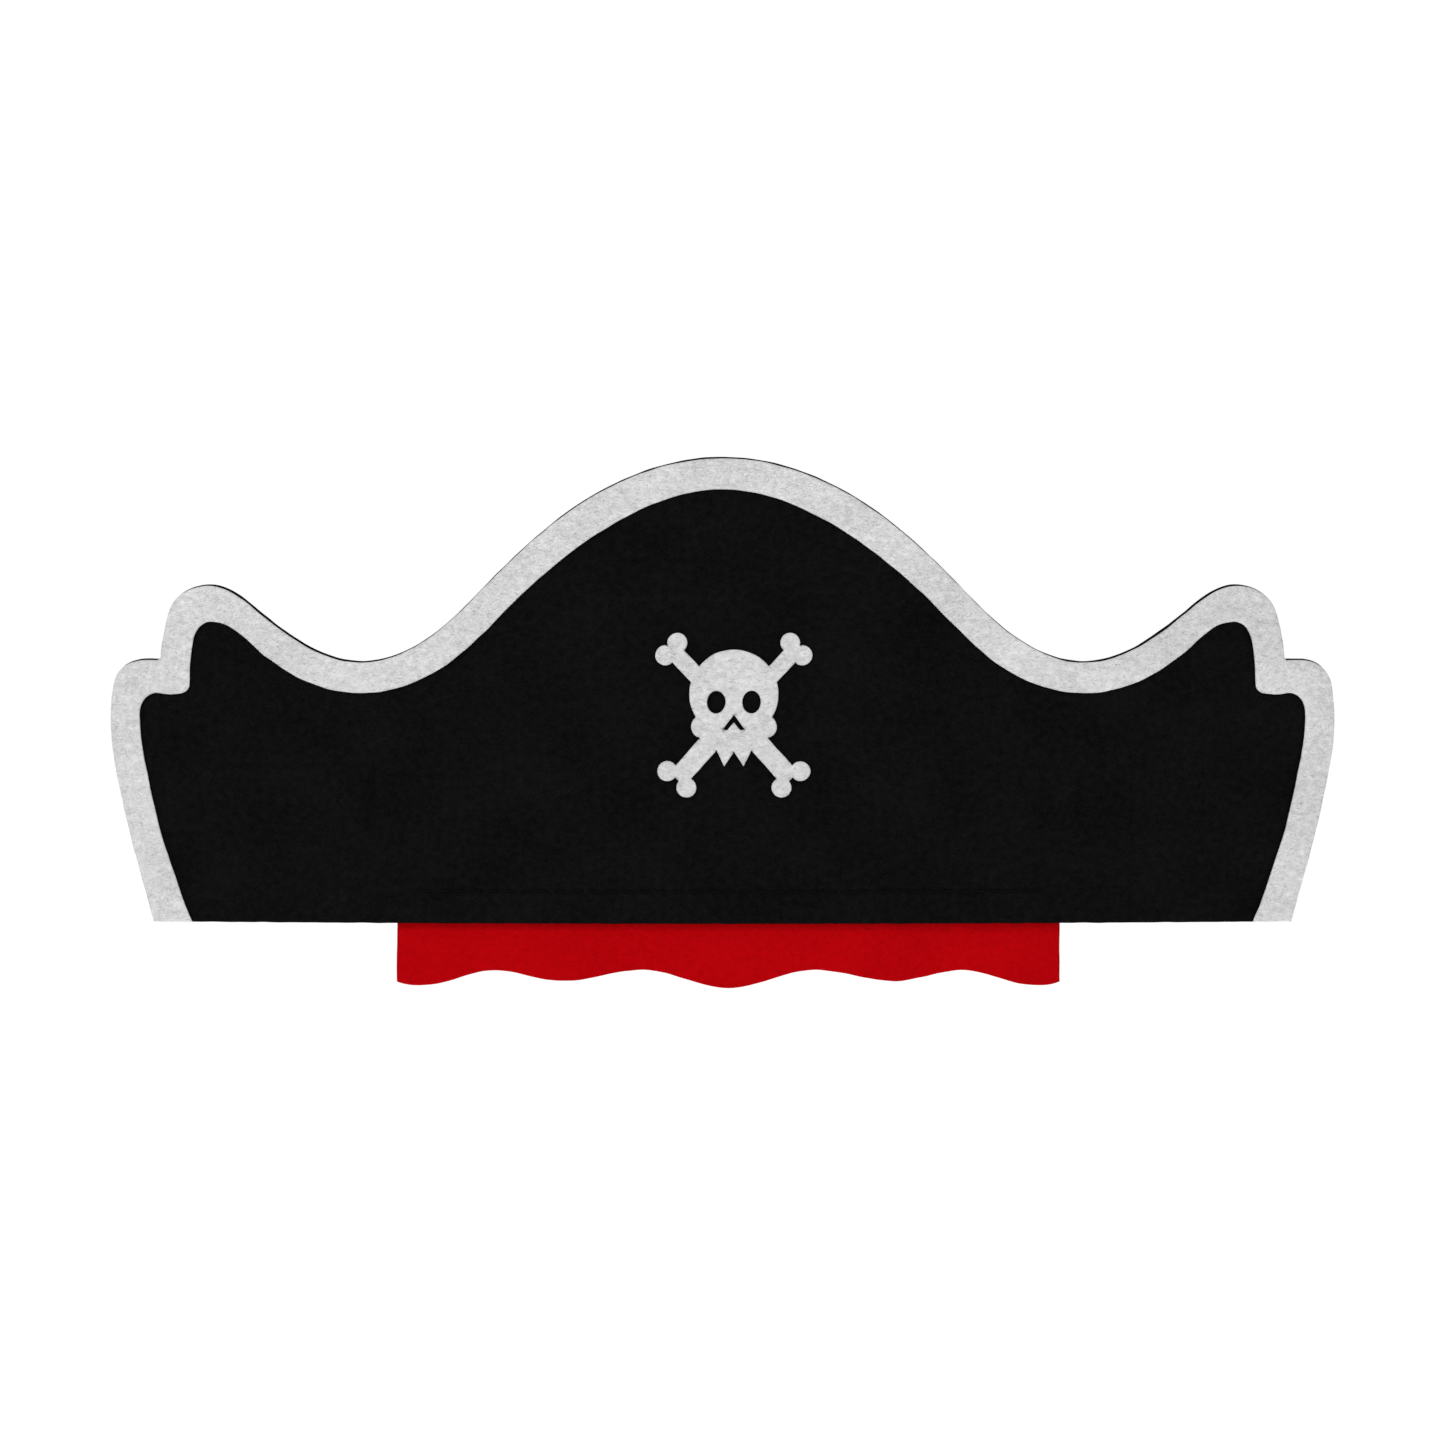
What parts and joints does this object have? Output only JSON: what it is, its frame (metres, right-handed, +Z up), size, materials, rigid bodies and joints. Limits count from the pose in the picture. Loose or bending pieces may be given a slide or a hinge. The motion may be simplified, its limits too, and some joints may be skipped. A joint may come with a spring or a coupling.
{
  "type": "pirate hat",
  "caption": "Child's felt pirate hat front with a bordered brim, a skull badge, a scalloped red bandana strip and an elastic head strap.",
  "frame": {"origin": "middle of the head opening, between the brow and the back of the head, level with the front panel's lower edge", "axes": "+X to the hat's left as worn (right in a front view), -Y to the front, +Z up towards the crown"},
  "size_m": [0.295, 0.1896, 0.1263],
  "materials": {
    "black_felt": "matt felt",
    "white_felt": "matt felt",
    "red_felt": "matt felt",
    "elastic": "ribbed knitted elastic",
    "thread": "sewing thread"
  },
  "bodies": {
    "hat": {"front_panel": "black_felt", "edge_trim": "white_felt", "skull_and_crossbones": "white_felt", "bandana_margin": "red_felt", "bandana_fold": "red_felt", "bandana_stitches": "thread", "strap_end_left": "elastic", "strap_end_right": "elastic", "strap_root_left": "elastic", "strap_root_right": "elastic", "strap_stitches_left": "thread", "strap_stitches_right": "thread"},
    "strap_sides": {"strap_side_left": "elastic", "strap_side_right": "elastic"},
    "strap_back": {"strap_back": "elastic"},
    "bandana_flap": {"bandana_flap": "red_felt"}
  },
  "joints": [
    {"name": "strap_swing", "type": "hinge", "parent": "hat", "child": "strap_sides", "pos_m": [0, -0.07149, 0.0285], "axis": [1, 0, 0], "range_deg": [-90, 90], "stiffness_Nm_per_rad": 0.25, "deforming": ["strap_root_left", "strap_root_right"]},
    {"name": "strap_stretch", "type": "slide", "parent": "strap_sides", "child": "strap_back", "axis": [0, 1, 0], "range_m": [-0.06, 0.02], "stiffness_N_per_m": 40, "deforming": ["strap_side_left", "strap_side_right"]},
    {"name": "bandana_bend", "type": "hinge", "parent": "hat", "child": "bandana_flap", "pos_m": [0, -0.088, -0.00275], "axis": [1, 0, 0], "range_deg": [-40, 45], "stiffness_Nm_per_rad": 0.002, "deforming": ["bandana_fold"]}
  ]
}
